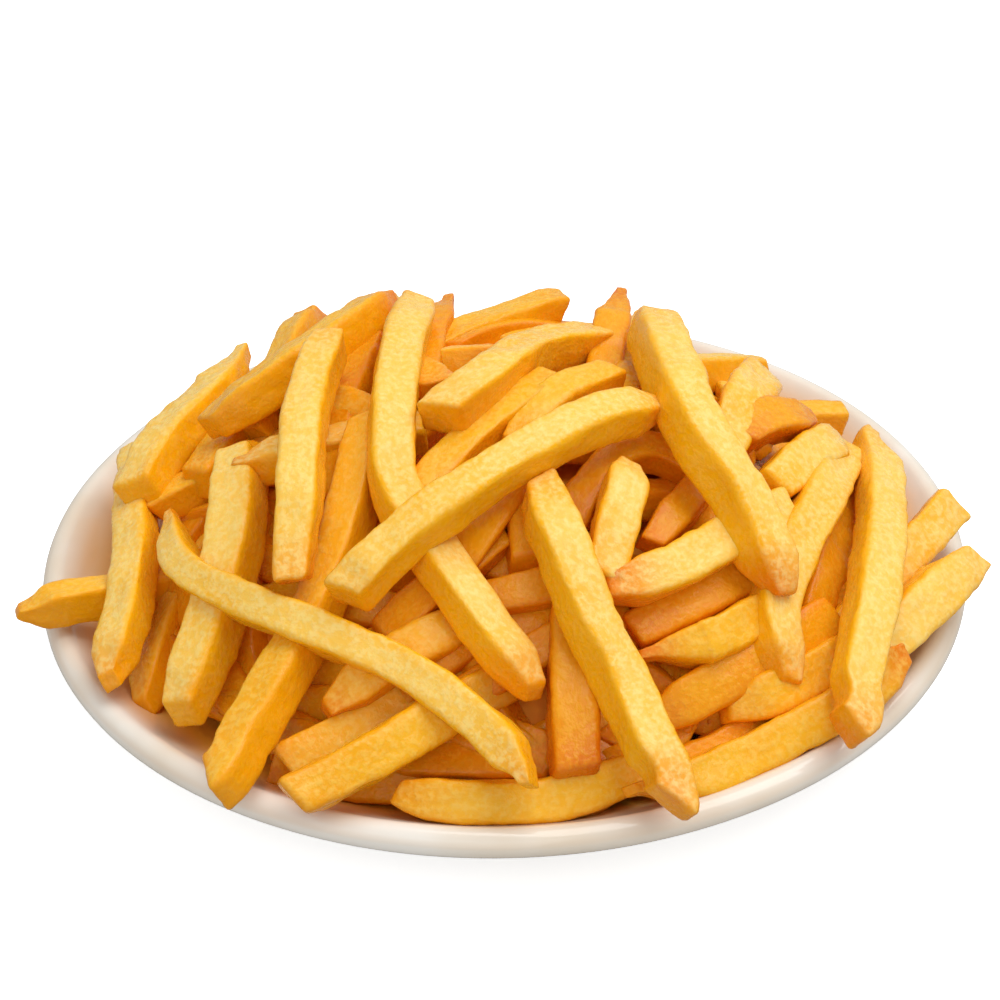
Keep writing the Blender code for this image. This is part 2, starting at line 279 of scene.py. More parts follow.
glaze = plain_material("white_glaze", GLAZE_WHITE, 0.12)
tree = glaze.node_tree
shader = tree.nodes["Principled BSDF"]
place = node(tree, "ShaderNodeTexCoord", (-1200, 0)).outputs["Object"]
height = node(tree, "ShaderNodeSeparateXYZ", (-1000, -300))
tree.links.new(place, height.inputs[0])
clouds = spread(tree, (-700, 200), noise(tree, (-950, 200), place, 22.0), 0.35, 0.7)
clay = spread(tree, (-700, -300), height.outputs["Z"], 0.0012, 0.0004)
coat = colour_mix(tree, (-450, 200), clouds, GLAZE_WHITE, GLAZE_THIN)
level = spread(tree, (-700, -50), height.outputs["Z"], 0.0205, 0.017)
facing = node(tree, "ShaderNodeSeparateXYZ", (-1000, -550))
tree.links.new(node(tree, "ShaderNodeNewGeometry", (-1200, -550)).outputs["Normal"], facing.inputs[0])
upward_side = spread(tree, (-850, -550), facing.outputs["Z"], 0.2, 0.7)
inside = maths(tree, (-700, -550), "MULTIPLY", level, upward_side)
# painted reflection: the upper side below the rim is tinted cream, as if it reflected the fries
coat = colour_mix(tree, (-350, 350), inside, coat, PAINTED_FRY_REFLECTION)
low_down = spread(tree, (-700, -700), height.outputs["Z"], 0.0190, 0.0120)
painted_glow_share = maths(tree, (-550, -700), "MULTIPLY", inside, low_down)
# painted bounce light: low in the well the glaze is tinted orange, as if lit by light off the fries
coat = colour_mix(tree, (-300, 500), painted_glow_share, coat, PAINTED_WELL_GLOW)
tree.links.new(colour_mix(tree, (-250, 200), clay, coat, BARE_CLAY), shader.inputs["Base Color"])
tree.links.new(spread(tree, (-450, -100), clay, 0.0, 1.0, 0.10, 0.75), shader.inputs["Roughness"])
waves = node(tree, "ShaderNodeBump", (-250, -400))
waves.inputs["Strength"].default_value = 0.12
waves.inputs["Distance"].default_value = 0.0006
tree.links.new(noise(tree, (-500, -450), place, 34.0, detail=1.0), waves.inputs["Height"])
tree.links.new(waves.outputs["Normal"], shader.inputs["Normal"])
plate.data.materials.append(glaze)
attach(plate, "root")
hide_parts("plate")
print("glaze on", plate.name)

# %% [markdown]
# ## One fry, straight
# A french fry is a potato stick with a square section, about 10 mm wide. Frying shrinks and softens
# it, so that its edges are round and its ends go from a clean cut to a point. The bar starts as a
# cube with the fry's proportions: a bevel rounds all its edges, and subdividing the long edges
# cuts rings that let it bend. Its two ends are then turned, thinned or rounded with proportional
# editing, which takes the neighbouring rings along. One bar is made for each pair of ends.

# %% Straight bars
BAR_LENGTH = 80.0 * MM
BAR_SIDE = 10.0 * MM
ROUNDING = 1.4 * MM
END_LENGTH = 16.0 * MM  # this much of each end keeps its shape in a longer or shorter fry
SIDE_CUTS = 4
NEAR = 0.1 * MM


def select_in_object_mode(bar, pick_vertex=None, pick_edge=None):
    """Selects vertices or edges by a rule, and goes into edit mode."""
    as_edges = pick_edge is not None
    bpy.context.tool_settings.mesh_select_mode = (not as_edges, as_edges, False)
    mesh = bar.data
    for part in (mesh.polygons, mesh.edges, mesh.vertices):
        part.foreach_set("select", np.zeros(len(part), bool))
    if as_edges:
        for edge in mesh.edges:
            first, second = (mesh.vertices[index].co for index in edge.vertices)
            edge.select = pick_edge(second - first)
    else:
        for vertex in mesh.vertices:
            vertex.select = pick_vertex(vertex.co)
    bpy.ops.object.mode_set(mode="EDIT")


def cut_across(bar, axis, cuts):
    """Subdivides the long edges that run along one axis."""
    select_in_object_mode(
        bar, pick_edge=lambda along: abs(along[axis]) > 0.98 * along.length and along.length > 3 * MM
    )
    bpy.ops.mesh.subdivide(number_cuts=cuts)
    bpy.ops.object.mode_set(mode="OBJECT")


def shape_end(bar, side, kind):
    """Shapes the bar's start (side 0) or its other end (side 1)."""
    end = BAR_LENGTH * side
    middle = Vector((end, 0.0, 0.0))
    select_in_object_mode(bar, pick_vertex=lambda spot: abs(spot.x - end) < NEAR)
    soft = {"use_proportional_edit": True, "proportional_edit_falloff": "SMOOTH"}
    if kind == "slant":
        bpy.ops.transform.rotate(
            value=math.radians(32.0), orient_axis="Z", center_override=middle,
            proportional_size=13.0 * MM, **soft)
    elif kind == "lean":
        bpy.ops.transform.rotate(
            value=math.radians(-24.0), orient_axis="Y", center_override=middle,
            proportional_size=12.0 * MM, **soft)
    elif kind == "point":
        bpy.ops.transform.resize(
            value=(1.0, 0.34, 0.5), center_override=middle + Vector((0.0, 2.5 * MM, 0.0)),
            proportional_size=22.0 * MM, **soft)
    elif kind == "round":
        bpy.ops.transform.resize(
            value=(1.0, 0.55, 0.6), center_override=middle, proportional_size=9.0 * MM, **soft)
    elif kind == "wedge":
        bpy.ops.transform.resize(
            value=(1.0, 0.7, 0.3), center_override=middle, proportional_size=8.0 * MM, **soft)
        bpy.ops.transform.rotate(
            value=math.radians(20.0), orient_axis="Z", center_override=middle,
            proportional_size=10.0 * MM, **soft)
    elif kind == "torn":
        bpy.ops.transform.resize(
            value=(1.0, 0.35, 0.9), center_override=middle + Vector((0.0, -4.0 * MM, 0.0)),
            proportional_size=12.0 * MM, **soft)
        bpy.ops.transform.rotate(
            value=math.radians(28.0), orient_axis="Z", center_override=middle,
            proportional_size=10.0 * MM, **soft)
    bpy.ops.object.mode_set(mode="OBJECT")


BARS = {}


def straight_bar(start, finish, cuts):
    """The bar with these two ends, made the first time that it is asked for."""
    if (start, finish, cuts) in BARS:
        return BARS[start, finish, cuts]
    deselect()
    bpy.ops.mesh.primitive_cube_add(size=1.0, location=(BAR_LENGTH / 2.0, 0.0, 0.0))
    bar = bpy.context.object
    bar.name = f"bar_{start}_{finish}_{cuts}"
    bar.scale = (BAR_LENGTH, BAR_SIDE, BAR_SIDE)
    bpy.ops.object.transform_apply(location=True, rotation=False, scale=True)
    bpy.context.tool_settings.mesh_select_mode = (False, True, False)
    bpy.ops.object.mode_set(mode="EDIT")
    bpy.ops.mesh.select_all(action="SELECT")
    bpy.ops.mesh.bevel(offset=ROUNDING, segments=3, affect="EDGES")
    bpy.ops.object.mode_set(mode="OBJECT")
    for axis, count in ((0, cuts), (1, SIDE_CUTS), (2, SIDE_CUTS)):
        cut_across(bar, axis, count)
    add_skin_values(bar.data)
    shape_end(bar, 0, start)
    shape_end(bar, 1, finish)
    bar.hide_render = True
    bar.hide_viewport = True
    BARS[start, finish, cuts] = bar
    return bar


# %% [markdown]
# ## What the skin must know
# Frying colours a stick by its shape: edges and corners dry out first and turn deep gold, flat
# sides stay cream, and tips toast to brown. On top of that, every face but the upper one gets a
# painted shade of deeper gold, as if less light fell on it. While the bar is still straight, every
# vertex can simply be told how near it is to an edge, to a shaded face and to each end. These values
# are stored as attributes, so they ride along when the bar is bent, and the material reads them. A
# second attribute keeps the straight coordinates, so that streaks and mottling run along each fry.

# %% Values on the bar
EDGE_FROM = 0.60  # share of the way from the middle of a side to its edge where gold begins
EDGE_GOLD = 0.55  # how golden an edge is, of 1
SIDE_SHADE_GOLD = 0.85  # painted shade: every face but the upper one is made a deeper gold


def smooth_step(value, low, high):
    share = np.clip((value - low) / (high - low), 0.0, 1.0)
    return share * share * (3.0 - 2.0 * share)


def mesh_points(mesh):
    points = np.empty(len(mesh.vertices) * 3, np.float32)
    mesh.vertices.foreach_get("co", points)
    return points.reshape(-1, 3)


def add_skin_values(mesh):
    """Stores the straight coordinates and (edge gold with painted side shade, start end, other end)
    on a bar's vertices.
    """
    points = mesh_points(mesh)
    half = BAR_SIDE / 2.0
    from_end = np.minimum(points[:, 0], BAR_LENGTH - points[:, 0])
    outward = np.abs(np.column_stack([points[:, 1] / half, points[:, 2] / half]))
    endward = np.clip(1.0 - from_end / half, 0.0, 1.0)
    second = np.sort(np.column_stack([outward, endward]), axis=1)[:, 1]
    shaded_sides = smooth_step(outward[:, 0] - np.clip(points[:, 2] / half, 0.0, 1.0), -0.1, 0.25)
    shaded_ends = smooth_step(endward - outward.max(axis=1), -0.1, 0.3)
    # painted shade: the faces other than the upper one turn deeper gold, as if turned from the light
    painted_side_shade = SIDE_SHADE_GOLD * np.maximum(shaded_sides, shaded_ends)
    values = np.column_stack([
        np.clip(EDGE_GOLD * smooth_step(second, EDGE_FROM, 1.0) + painted_side_shade, 0.0, 1.0),
        1.0 - smooth_step(points[:, 0], 0.0, END_LENGTH),
        1.0 - smooth_step(BAR_LENGTH - points[:, 0], 0.0, END_LENGTH),
    ]).astype(np.float32)
    for name, data in (("straight", points), ("skin", values)):
        layer = mesh.attributes.new(name, "FLOAT_VECTOR", "POINT")
        layer.data.foreach_set("vector", data.ravel())


print("one bar:", len(straight_bar("cut", "cut", 40).data.polygons), "faces")

# %% [markdown]
# ## The course of a fry
# Each fry follows a curve through a few points. A Curve modifier bends a copy of the straight bar
# along it. The curve's tilt turns the section, so that a fry lies flat on the mound under it, and
# its radius makes the fry swell and narrow a little, as hand-cut sticks do.

# %% Mound and curve
MOUND_BASE = 7.0
MOUND_RISE = 60.0
MOUND_RADIUS = 108.0
MOUND_POWER = 2.4
CORE_RADIUS = 90.0
WELL_RADIUS = 72.0
WALL_TOP_RADIUS = 108.6
MOST_TWIST = 7.0  # degrees from end to end
SWELLINGS = (0.93, 1.06)


def mound_height(radius):
    """Height in mm of the outer fries' centre lines."""
    share = min(radius, MOUND_RADIUS) / MOUND_RADIUS
    return MOUND_BASE + MOUND_RISE * (1.0 - share**MOUND_POWER)


def wall_height(radius):
    """Height in mm of the plate's upper side."""
    share = max(0.0, (radius - WELL_RADIUS) / (WALL_TOP_RADIUS - WELL_RADIUS))
    return 6.0 + 13.4 * share**1.7


def mound_normal(point):
    """Which way the mound faces under a point."""
    radius = math.hypot(point[0], point[1])
    share = min(radius, CORE_RADIUS) / MOUND_RADIUS
    slope = MOUND_RISE * MOUND_POWER / MOUND_RADIUS * share ** (MOUND_POWER - 1.0)
    reach = max(radius, 1.0)
    return Vector((point[0] / reach * slope, point[1] / reach * slope, 1.0)).normalized()


def section_turn(course, turn):
    """The tilt that lays a square section flat on the mound, and turns it on by some degrees."""
    along = (Vector(course[-1]) - Vector(course[0])).normalized()
    across = along.cross(Vector((0.0, 0.0, 1.0))).normalized()
    level_up = across.cross(along)
    facing = mound_normal(course[len(course) // 2])
    return math.atan2(facing.dot(across), facing.dot(level_up)) + math.radians(turn)


def course_curve(course, turn, rng):
    curve = bpy.data.curves.new("course", "CURVE")
    curve.dimensions = "3D"
    curve.twist_mode = "Z_UP"
    curve.resolution_u = 16
    curve.use_radius = True
    spline = curve.splines.new("BEZIER")
    spline.bezier_points.add(len(course) - 1)
    tilt = section_turn(course, turn)
    twist = math.radians(rng.uniform(-MOST_TWIST, MOST_TWIST))
    for number, (point, spot) in enumerate(zip(spline.bezier_points, course)):
        share = number / (len(course) - 1)
        point.co = Vector(spot) * MM
        point.handle_left_type = "AUTO"
        point.handle_right_type = "AUTO"
        point.tilt = tilt + twist * (share - 0.5)
        point.radius = rng.uniform(*SWELLINGS)
    made = bpy.data.objects.new("course", curve)
    bpy.context.scene.collection.objects.link(made)
    return made, spline.calc_length()


# %% [markdown]
# ## Bending, lumps and wrinkles
# A bent copy still looks like moulded plastic. Real fries carry soft lumps some millimetres wide,
# where the potato steamed, and a fine skin of wrinkles. Two Displace modifiers with cloud textures
# push the surface in and out. They read the place in the heap, so no two fries come out alike.

# %% Laying a fry
lump_texture = bpy.data.textures.new("lumps", "CLOUDS")
lump_texture.noise_scale = 11.0 * MM
lump_texture.noise_depth = 2
wrinkle_texture = bpy.data.textures.new("wrinkles", "CLOUDS")
wrinkle_texture.noise_scale = 3.2 * MM
wrinkle_texture.noise_depth = 2
LUMPS = ((lump_texture, 1.9 * MM), (wrinkle_texture, 0.55 * MM))
LONG_FRY = 55.0 * MM
DEEP_CUTS, SHORT_CUTS, LONG_CUTS = 16, 34, 56
END_SLOPE_REACH = 1.2
END_SKEW, END_LEAN, END_NARROWING = 0.4, 0.35, 0.22
END_RANDOM = random.Random(21)


def stretched(points, length, side):
    """Straight bar points at a fry's length and side: only the middle is stretched."""
    end = min(END_LENGTH, length * 0.4)
    old_x = points[:, 0]
    near = old_x * end / END_LENGTH
    far = length - (BAR_LENGTH - old_x) * end / END_LENGTH
    share = (old_x - END_LENGTH) / (BAR_LENGTH - 2.0 * END_LENGTH)
    middle = end + share * (length - 2.0 * end)
    new = points * (side / BAR_SIDE)
    new[:, 0] = np.where(share < 0.0, near, np.where(share > 1.0, far, middle))
    return new


WIDTHS = (0.98, 1.05)
THICKNESSES = (0.92, 1.02)
SKEW = 0.12
TAPER = 0.2


def uneven_section(points, rng):
    """No knife cuts true: the section is made a little wide or flat, skewed and tapered."""
    across, upright = points[:, 1].copy(), points[:, 2].copy()
    points[:, 1] = across * rng.uniform(*WIDTHS) + upright * rng.uniform(-SKEW, SKEW)
    points[:, 2] = upright * rng.uniform(*THICKNESSES)
    points[:, 1] *= 1.0 + upright / BAR_SIDE * rng.uniform(-TAPER, TAPER)
    points[:, 2] *= 1.0 + across / BAR_SIDE * rng.uniform(-TAPER, TAPER)
    return points


def uneven_ends(points, length, side, rng):
    """A knife meets each end of a potato at its own angle."""
    for end, inward in ((0.0, 1.0), (length, -1.0)):
        nearness = 1.0 - smooth_step(inward * (points[:, 0] - end), 0.0, END_SLOPE_REACH * side)
        slope = points[:, 1] * rng.uniform(-END_SKEW, END_SKEW)
        slope = slope + points[:, 2] * rng.uniform(-END_LEAN, END_LEAN)
        points[:, 0] += nearness * slope
        narrowing = 1.0 - nearness * rng.uniform(0.0, END_NARROWING)
        points[:, 1] *= narrowing
        points[:, 2] *= narrowing
    return points


def lay_fry(kind, side, turn, ends, toast, course, rng, fine=True):
    """One finished fry, bent along its course."""
    curve, length = course_curve(course, turn, rng)
    cuts = DEEP_CUTS if not fine else (SHORT_CUTS if length < LONG_FRY else LONG_CUTS)
    bar = straight_bar(*ends.split(), cuts)
    laid = bpy.data.objects.new("fry", bar.data.copy())
    bpy.context.scene.collection.objects.link(laid)
    mesh = laid.data
    points = stretched(mesh_points(mesh), length, side * MM)
    points = uneven_section(points, rng)
    points = uneven_ends(points, length, side * MM, END_RANDOM)
    mesh.vertices.foreach_set("co", points.ravel())
    shift = np.array([rng.uniform(0.0, 1.0), rng.uniform(0.0, 1.0), rng.uniform(0.0, 1.0)])
    shifted = (points + shift).astype(np.float32)
    mesh.attributes["straight"].data.foreach_set("vector", shifted.ravel())
    store_tone(mesh, toast, rng)
    bend = laid.modifiers.new("Bend", "CURVE")
    bend.object = curve
    bend.deform_axis = "POS_X"
    for texture, strength in LUMPS:
        bump = laid.modifiers.new("Lumps", "DISPLACE")
        bump.texture = texture
        bump.texture_coords = "LOCAL"
        bump.mid_level = 0.5
        bump.strength = strength
    deselect()
    laid.select_set(True)
    bpy.context.view_layer.objects.active = laid
    for modifier in list(laid.modifiers):
        bpy.ops.object.modifier_apply(modifier=modifier.name)
    bpy.ops.object.shade_smooth()
    bpy.data.objects.remove(curve)
    return laid


def store_tone(mesh, toast, rng):
    """Turns the two end values into one toasting value, and adds the fry's own tone."""
    values = np.empty(len(mesh.vertices) * 3, np.float32)
    mesh.attributes["skin"].data.foreach_get("vector", values)
    values = values.reshape(-1, 3)
    values[:, 1] = np.maximum(values[:, 1] * toast[0], values[:, 2] * toast[1])
    values[:, 2] = rng.uniform(0.0, 1.0)
    mesh.attributes["skin"].data.foreach_set("vector", values.ravel())


# %% [markdown]
# ## The fries that show
# Laid one by one, left to right and from the front to the top. Each line gives the kind, the side
# of the section in mm, the turn about its length, the shape of both ends, how toasted each end is,
# and the points of its course in mm. The kinds are pale, golden and browned.

# %% Fries laid one by one
LEFT_FRIES = [
    ("golden", 9.5, 10, "wedge cut", (0.4, 0.0),
     [(-115, -38, 29), (-95, -30, 27), (-70, -16, 21), (-48, 0, 18)]),
    ("pale", 9, -15, "cut round", (0.0, 0.6),
     [(-94, 29, 30), (-91, 2, 33), (-88, -32, 32), (-90, -64, 27)]),
    ("pale", 10, -15, "point cut", (0.0, 0.2),
     [(-68, 54, 45), (-72, 34, 45), (-83, 12, 43), (-89, -6, 39)]),
    ("golden", 9, 0, "cut round", (0.0, 0.5),
     [(-70, -2, 28), (-78, -28, 23), (-84, -60, 16)]),
    ("pale", 10, -10, "cut cut", (0.0, 0.3),
     [(-63, -8, 51), (-62, -34, 47), (-66, -54, 37), (-73, -74, 25)]),
    ("pale", 9, 0, "torn cut", (0.8, 0.0),
     [(-64, -14, 52), (-42, -14, 57), (-18, -10, 58)]),
    ("golden", 9, 0, "cut cut", (0.2, 0.0),
     [(-87, -5, 34), (-63, 4, 42), (-44, 8, 48)]),
    ("golden", 9, 0, "lean cut", (0.6, 0.0),
     [(-49, 63, 51), (-54, 36, 53), (-60, 8, 47)]),
    ("golden", 10, 0, "cut round", (0.3, 1.0),
     [(-71, 4, 52), (-56, 12, 60), (-42, 24, 64), (-28, 49, 62)]),
    ("pale", 10, -16, "cut cut", (0.2, 0.5),
     [(-41, 12, 71), (-45, -12, 69), (-46, -39, 64), (-47, -62, 52)]),
    ("golden", 10, 10, "cut slant", (0.0, 0.3),
     [(-31, -14, 63), (-36, -44, 52), (-46, -68, 39), (-63, -102, 28)]),
]
FRONT_FRIES = [
    ("pale", 8.5, 0, "point torn", (1.0, 0.4),
     [(-81, -14, 39), (-73, -42, 42), (-60, -57, 44), (-41, -71, 45), (-22, -81, 41), (-7, -92, 36),
      (6, -109, 31)]),
    ("golden", 10, 10, "cut cut", (0.3, 0.0),
     [(-46, -108, 29), (-32, -99, 30), (-13, -84, 32), (5, -70, 32)]),
    ("golden", 9, 0, "cut cut", (0.2, 0.0),
     [(-48, -90, 22), (-24, -79, 29), (0, -66, 32)]),
    ("golden", 11, 0, "round cut", (0.8, 0.0),
     [(-40, -83, 32), (-24, -73, 38), (-5, -62, 42)]),
    ("browned", 8, 0, "round cut", (0.5, 0.0),
     [(-54, -77, 16), (-37, -68, 20), (-18, -58, 24)]),
    ("golden", 10, 0, "round cut", (0.4, 0.0),
     [(-24, -98, 21), (-9, -101, 20), (11, -99, 19), (28, -92, 20)]),
    ("browned", 11, 0, "cut cut", (0.0, 0.9),
     [(15, -66, 43), (14, -84, 34), (14, -99, 25)]),
    ("pale", 10, -8, "cut slant", (0.3, 0.6),
     [(8, -46, 65), (13, -64, 60), (18, -76, 51), (25, -87, 41), (30, -102, 35), (33, -113, 29)]),
    ("golden", 10, 0, "point round", (0.8, 0.9),
     [(26, -105, 24), (41, -95, 20), (55, -86, 20), (72, -77, 23), (91, -62, 28)]),
    ("golden", 10, 0, "round cut", (0.4, 0.0),
     [(48, -79, 25), (61, -72, 26), (84, -52, 24)]),
    ("browned", 10, 0, "round cut", (0.3, 0.0),
     [(31, -83, 26), (53, -69, 30), (74, -52, 30)]),
    ("browned", 9, 0, "cut cut", (0.2, 0.0),
     [(-28, -67, 38), (-14, -57, 47), (0, -46, 52)]),
    ("browned", 9, 0, "cut cut", (0.2, 0.0),
     [(-26, -78, 30), (-8, -68, 38), (10, -62, 40)]),
    ("browned", 9, 0, "cut cut", (0.2, 0.0),
     [(-14, -81, 30), (9, -70, 38), (28, -60, 40)]),
    ("browned", 9, 0, "cut cut", (0.2, 0.0),
     [(-52, -82, 15), (-30, -88, 15), (-4, -92, 15)]),
    ("browned", 9, 0, "cut cut", (0.2, 0.0),
     [(30, -92, 17), (50, -80, 18), (70, -64, 19)]),
]
TOP_FRIES = [
    ("pale", 10.5, -30, "cut round", (0.2, 0.7),
     [(-20, 40, 65), (-24, -2, 71), (-25, -29, 68), (-24, -43, 62), (-15, -58, 55), (-5, -73, 47),
      (6, -86, 38)]),
    ("pale", 9, 0, "cut round", (0.3, 0.3),
     [(-35, -70, 53), (-23, -62, 62), (-7, -52, 69), (9, -41, 72.5), (23, -30, 73), (37, -20, 69)]),
    ("browned", 9.5, 0, "point cut", (0.9, 0.0),
     [(-14, 59, 56), (-17, 30, 59), (-20, -2, 60)]),
    ("browned", 10, 0, "cut cut", (0.5, 0.0),
     [(-31, 33, 59), (-38, -2, 57), (-40, -30, 51)]),
    ("golden", 9.5, 0, "cut lean", (0.0, 0.3),
     [(-22, 24, 57), (-4, 41, 56.5), (17, 55, 55.5)]),
    ("browned", 8, 0, "cut cut", (0.2, 0.2),
     [(-13, 26, 59), (2, 42, 55), (20, 50, 50)]),
    ("pale", 10.5, 0, "cut cut", (0.3, 0.2),
     [(-14, -28, 72.5), (-3, -14, 73.5), (10, 12, 67), (25, 29, 59)]),
    ("browned", 9, 0, "point cut", (0.7, 0.0),
     [(31, 54, 60), (28, 30, 60), (24, 5, 55)]),
    ("golden", 8.5, 0, "cut cut", (0.2, 0.2),
     [(-19, -42, 60), (-7, -28, 66), (5, -14, 68), (13, -4, 68)]),
    ("golden", 9, 0, "cut cut", (0.2, 0.2),
     [(2, -30, 64), (12, -14, 67.5), (27, 1, 66)]),
    ("golden", 8, 0, "cut cut", (0.3, 0.0),
     [(34, 24, 55), (30, 2, 59), (26, -18, 58)]),
    ("pale", 11, 4, "round round", (0.6, 0.9),
     [(38, 28, 67), (41, -10, 72), (46, -32, 68), (55, -46, 58), (62, -61, 44)]),
]
MIDDLE_FRIES = [
    ("pale", 10, 0, "round cut", (1.0, 0.0),
     [(22, -65, 50), (35, -60, 50), (52, -46, 50), (66, -30, 46)]),
    ("golden", 10, 0, "point cut", (1.0, 0.0),
     [(28, -76, 38), (43, -71, 38), (60, -57, 37)]),
    ("browned", 10, 0, "cut cut", (0.3, 0.0),
     [(28, -66, 38), (50, -52, 40), (64, -40, 38)]),
    ("pale", 10, 0, "round cut", (0.2, 0.0),
     [(29, -34, 62), (26, -48, 58), (22, -62, 50)]),
    ("browned", 9, 0, "cut cut", (0.2, 0.0),
     [(12, -46, 48), (20, -32, 55), (33, -20, 57), (50, -24, 52)]),
    ("browned", 9, 0, "cut cut", (0.5, 0.0),
     [(54, -46, 42), (66, -42, 36)]),
    ("browned", 9, 0, "cut cut", (0.2, 0.0),
     [(33, -48, 49), (45, -29, 52), (54, -10, 52)]),
    ("browned", 10, 0, "cut cut", (0.2, 0.0),
     [(8, -16, 59), (6, -38, 56), (5, -55, 50)]),
    ("browned", 10, 0, "cut cut", (0.2, 0.0),
     [(8, -22, 60), (-3, -44, 56), (-14, -60, 47)]),
    ("browned", 9, 0, "cut cut", (0.2, 0.0),
     [(-8, -62, 44), (12, -59, 46), (28, -54, 46)]),
]
RIGHT_FRIES = [
    ("pale", 11, 10, "cut round", (0.0, 0.5),
     [(84, 6, 38), (73, -28, 44), (64, -48, 42), (60, -62, 38), (62, -74, 29)]),
    ("pale", 9, 0, "cut slant", (0.0, 0.2),
     [(30, 36, 44), (50, 41, 43), (71, 45, 40)]),
    ("pale", 11, 0, "round cut", (0.3, 0.0),
     [(68, 29, 46), (60, 5, 55), (52, -20, 56)]),
    ("browned", 10, 0, "cut round", (0.6, 0.9),
     [(54, -14, 56), (64, -3, 54), (76, 7, 48)]),
    ("golden", 9, 0, "cut cut", (0.0, 0.1),
     [(60, 28, 35), (74, 35, 31), (90, 40, 28)]),
    ("pale", 10, 0, "round cut", (0.3, 0.0),
     [(83, 7, 41), (75, -6, 46), (62, -27, 50)]),
    ("pale", 10, 12, "torn slant", (0.2, 0.7),
     [(94, 12, 36), (90, -22, 40), (83, -56, 39), (73, -92, 31)]),
    ("pale", 9.5, 0, "cut cut", (0.1, 0.0),
     [(109, -8, 30), (88, -38, 30), (72, -60, 26)]),
    ("pale", 10.5, 0, "cut cut", (0.2, 0.0),
     [(110, -31, 31), (98, -46, 31), (82, -64, 28)]),
    ("browned", 10, 0, "cut cut", (0.0, 0.0),
     [(86, 0, 30), (74, -38, 31), (66, -60, 24)]),
    ("golden", 9, 0, "cut cut", (0.0, 0.0),
     [(64, -56, 28), (83, -36, 26)]),
]
BACK_FRIES = [
    ("golden", 10, 0, "slant cut", (0.3, 0.0),
     [(-36, 109, 28), (-30, 84, 37), (-22, 56, 48)]),
    ("pale", 10, 0, "cut cut", (0.4, 0.0),
     [(12, 108, 24), (6, 84, 32), (2, 52, 46)]),
    ("golden", 10, 0, "round cut", (0.6, 0.0),
     [(46, 96, 26), (40, 72, 38), (36, 44, 48)]),
    ("pale", 10, 0, "lean cut", (0.2, 0.3),
     [(-66, 70, 20), (-48, 80, 22), (-24, 86, 24)]),
    ("golden", 10, 0, "cut round", (0.3, 0.5),
     [(70, 66, 20), (50, 78, 22), (26, 86, 24)]),
]

# %% [markdown]
# ## The fries at the back and underneath
# Nobody lays the fries at the back one by one: they are strewn by rule, in arcs over the mound,
# each along the slope at its own angle. The same rule, deeper in the mound, fills the gaps under
# the ones that show. Seeding the random numbers gives the same heap on every run.

# %% Fries laid by rule
LOOSE_ROWS = ((40.0, 9), (66.0, 10))  # distance from the middle in mm, and how many
LOOSE_SEED = 11
DEEP_ROWS = ((18.0, 5), (42.0, 12), (64.0, 18), (80.0, 20), (88.0, 24))
DEEP_SEED = 5
BACK_FALL = 0.2  # the heap's back is steeper than its front
SWING = 0.1  # radians that a fry's place strays along its arc
MOST_HEADING = 1.2  # radians that its heading strays from the arc's
HALF_LENGTHS = (24.0, 38.0)
SIDES = (8.5, 10.5)
MOST_TURN = 30.0
KINDS = ("pale", "golden", "golden", "browned")
ENDS = ("cut", "cut", "slant", "lean", "round", "point")


def draped(spot, depth, side):
    """A spot let down onto the mound, and kept inside the plate's rim and off its wall."""
    radius = min(spot.length, CORE_RADIUS)
    spot = spot * (radius / max(spot.length, 1.0))
    fall = BACK_FALL * max(spot.y, 0.0)
    spot.z = max(mound_height(radius) - depth - fall, wall_height(radius) + side)
    return spot


def strewn(rows, seed, depths, arc, kinds):
    """Fries strewn in arcs over the mound."""
    rng = random.Random(seed)
    looks = random.Random(seed + 100)
    found = []
    for reach, count in rows:
        for number in range(count):
            azimuth = arc * (number + 0.5) / count + rng.uniform(-SWING, SWING)
            centre = Vector((reach * math.cos(azimuth), reach * math.sin(azimuth), 0.0))
            heading = azimuth + math.pi / 2.0 + rng.uniform(-MOST_HEADING, MOST_HEADING)
            half = Vector((math.cos(heading), math.sin(heading), 0.0)) * rng.uniform(*HALF_LENGTHS)
            side = rng.uniform(*SIDES)
            turn = rng.uniform(-MOST_TURN, MOST_TURN)
            depth = rng.uniform(*depths)
            course = [draped(centre + half * share, depth, side) for share in (-1.0, 0.0, 1.0)]
            ends = f"{looks.choice(ENDS)} {looks.choice(ENDS)}"
            toast = (looks.uniform(0.0, 0.8), looks.uniform(0.0, 0.8))
            found.append((looks.choice(kinds), side, turn, ends, toast, course))
    return found


shown_fries = LEFT_FRIES + FRONT_FRIES + TOP_FRIES + MIDDLE_FRIES + RIGHT_FRIES + BACK_FRIES
loose_fries = strewn(LOOSE_ROWS, LOOSE_SEED, (0.0, 6.0), math.pi, KINDS)
deep_fries = strewn(DEEP_ROWS, DEEP_SEED, (10.0, 17.0), 2.0 * math.pi, ("browned",))
print(len(shown_fries), "laid,", len(loose_fries), "strewn at the back,", len(deep_fries), "beneath")

# %% Lay them all
LOOKS_SEED = 3
heaps = {"pale": [], "golden": [], "browned": []}
rng = random.Random(LOOKS_SEED)
for one in shown_fries + loose_fries:
    heaps[one[0]].append(lay_fry(*one, rng))
for one in deep_fries:
    heaps[one[0]].append(lay_fry(*one, rng, fine=False))
for kind, laid in heaps.items():
    print(kind, len(laid), "fries")

# %% [markdown]
# ## The core
# Under the outer layers nothing can be seen but a warm dark glow between the fries. A low dome,
# a little lumpy, stands in for the inside of the heap and stops light from passing through.

